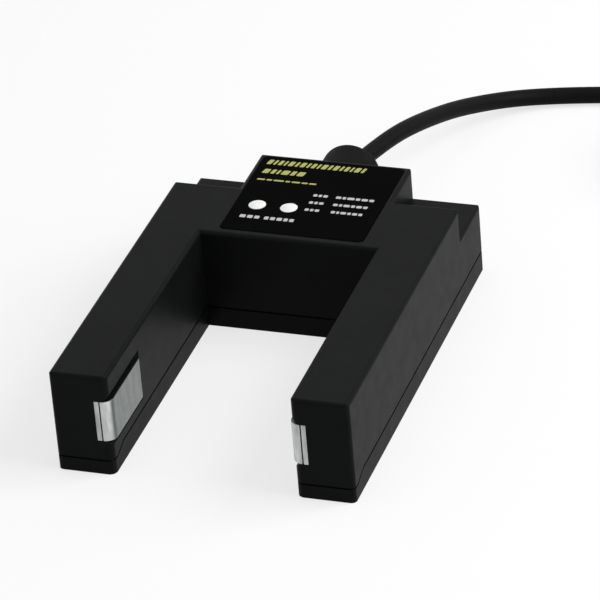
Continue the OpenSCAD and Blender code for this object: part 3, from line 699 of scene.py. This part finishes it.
head_line = np.array([[head_from, head_low], [head_to, head_low]])
loop_points, loop_faces = strap(round_loop(), tie_thick, tie_width, closed=True)
head_points, head_faces = strap(head_line, head_height, head_width)
tail_points, tail_faces = strap(tail_curve(), tie_thick, tie_width)
head_first = len(loop_points)
tail_first = head_first + len(head_points)
tie_points = np.concatenate([loop_points, head_points, tail_points])
tie_faces = np.concatenate([loop_faces, head_faces + head_first, tail_faces + tail_first])
tie_strap = new_piece("tie_strap", tie_points, tie_faces.tolist())
tie_strap.data.polygons.foreach_set("use_smooth", np.ones(len(tie_faces), bool))
break_edges(tie_strap, width=0.18 * MM, sharper_than=40)
shade_by_faces(tie_strap)
tie_plastic = moulded("tie_plastic", tie_dark, tie_light,
                      roughness=0.4, grain_size=0.3 * MM, grain_depth=0.006 * MM)
tie_strap.data.materials.append(tie_plastic)
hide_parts("coil_tie")


# Stage: a white paper floor and background, as for a catalogue picture. A broad soft light stands on the
# right, and a weak one hangs above.
floor_half = 3.0
floor_drop = 0.05 * MM
floor_white = (0.9, 0.9, 0.9, 1)
floor_glow = 0.7
sky_light, sky_seen = 0.4, 1.0
floor_corners = np.array([[-floor_half, -floor_half, -floor_drop], [floor_half, -floor_half, -floor_drop],
                          [floor_half, floor_half, -floor_drop], [-floor_half, floor_half, -floor_drop]])
floor_mesh = bpy.data.meshes.new("floor")
floor_mesh.from_pydata(floor_corners.tolist(), [], [(0, 1, 2, 3)])
floor = bpy.data.objects.new("floor", floor_mesh)
bpy.context.scene.collection.objects.link(floor)


def seen_directly(tree):
    """1 for rays from the camera, mirrors and glass, and 0 for the rays that light the object."""
    path = tree.nodes.new("ShaderNodeLightPath")
    seen = worked_out(tree, "MAXIMUM", path.outputs["Is Camera Ray"], path.outputs["Is Glossy Ray"])
    return worked_out(tree, "MAXIMUM", seen, path.outputs["Is Transmission Ray"])


paper = bpy.data.materials.new("paper_floor")
paper.use_nodes = True
tree = paper.node_tree
tree.nodes.clear()
out = tree.nodes.new("ShaderNodeOutputMaterial")
lit = tree.nodes.new("ShaderNodeBsdfDiffuse")
lit.inputs["Color"].default_value = floor_white
glow = tree.nodes.new("ShaderNodeEmission")
blend = tree.nodes.new("ShaderNodeMixShader")
tree.links.new(worked_out(tree, "MULTIPLY", seen_directly(tree), floor_glow), blend.inputs["Fac"])
tree.links.new(lit.outputs["BSDF"], blend.inputs[1])
tree.links.new(glow.outputs["Emission"], blend.inputs[2])
tree.links.new(blend.outputs["Shader"], out.inputs["Surface"])
floor_mesh.materials.append(paper)

world = bpy.data.worlds.new("studio")
world.use_nodes = True
bpy.context.scene.world = world
tree = world.node_tree
sky = tree.nodes["Background"]
strength = tree.nodes.new("ShaderNodeMapRange")
strength.inputs["To Min"].default_value = sky_light
strength.inputs["To Max"].default_value = sky_seen
tree.links.new(seen_directly(tree), strength.inputs["Value"])
tree.links.new(strength.outputs["Result"], sky.inputs["Strength"])
sky.inputs["Color"].default_value = (1, 1, 1, 1)


def soft_light(name, place, size, power):
    """A square lamp at place that faces the middle of the object."""
    aim = np.array([0, -0.04, 0.015])
    lamp = bpy.data.lights.new(name, "AREA")
    lamp.shape = "SQUARE"
    lamp.size = size
    lamp.energy = power
    holder = bpy.data.objects.new(name, lamp)
    back = np.array(place) - aim
    back = back / np.linalg.norm(back)
    side = np.cross([0, 0, 1], back)
    side = side / np.linalg.norm(side)
    turn = np.eye(4)
    turn[:3, 0], turn[:3, 1], turn[:3, 2], turn[:3, 3] = side, np.cross(back, side), back, place
    holder.matrix_world = Matrix(turn)
    bpy.context.scene.collection.objects.link(holder)


soft_light("right_softbox", place=(0.9, 0.15, 0.75), size=0.9, power=14)
soft_light("top_softbox", place=(-0.1, 0.1, 1.4), size=1.2, power=3)


# Camera: a long lens above the open end of the fork and a little to its right. It is tilted a few degrees,
# as the photograph is.
camera_aim = np.array([4.306, -40.289, 15.0]) * MM
camera_distance = 1262.0 * MM
camera_azimuth = math.radians(20.456)
camera_elevation = math.radians(31.193)
camera_roll = math.radians(-4.9156)
lens_mm = 280.27
back = np.array([math.cos(camera_elevation) * math.sin(camera_azimuth),
                 -math.cos(camera_elevation) * math.cos(camera_azimuth), math.sin(camera_elevation)])
level_right = np.array([math.cos(camera_azimuth), math.sin(camera_azimuth), 0])
level_up = np.cross(back, level_right)
right = math.cos(camera_roll) * level_right + math.sin(camera_roll) * level_up
view = np.eye(4)
view[:3, 0], view[:3, 1], view[:3, 2] = right, np.cross(back, right), back
view[:3, 3] = camera_aim + camera_distance * back
camera_data = bpy.data.cameras.new("camera")
camera_data.lens = lens_mm
camera_data.sensor_width = 36
camera_data.clip_end = 20
camera = bpy.data.objects.new("camera", camera_data)
camera.matrix_world = Matrix(view)
bpy.context.scene.collection.objects.link(camera)
bpy.context.scene.camera = camera
bpy.context.scene.view_settings.view_transform = "Standard"
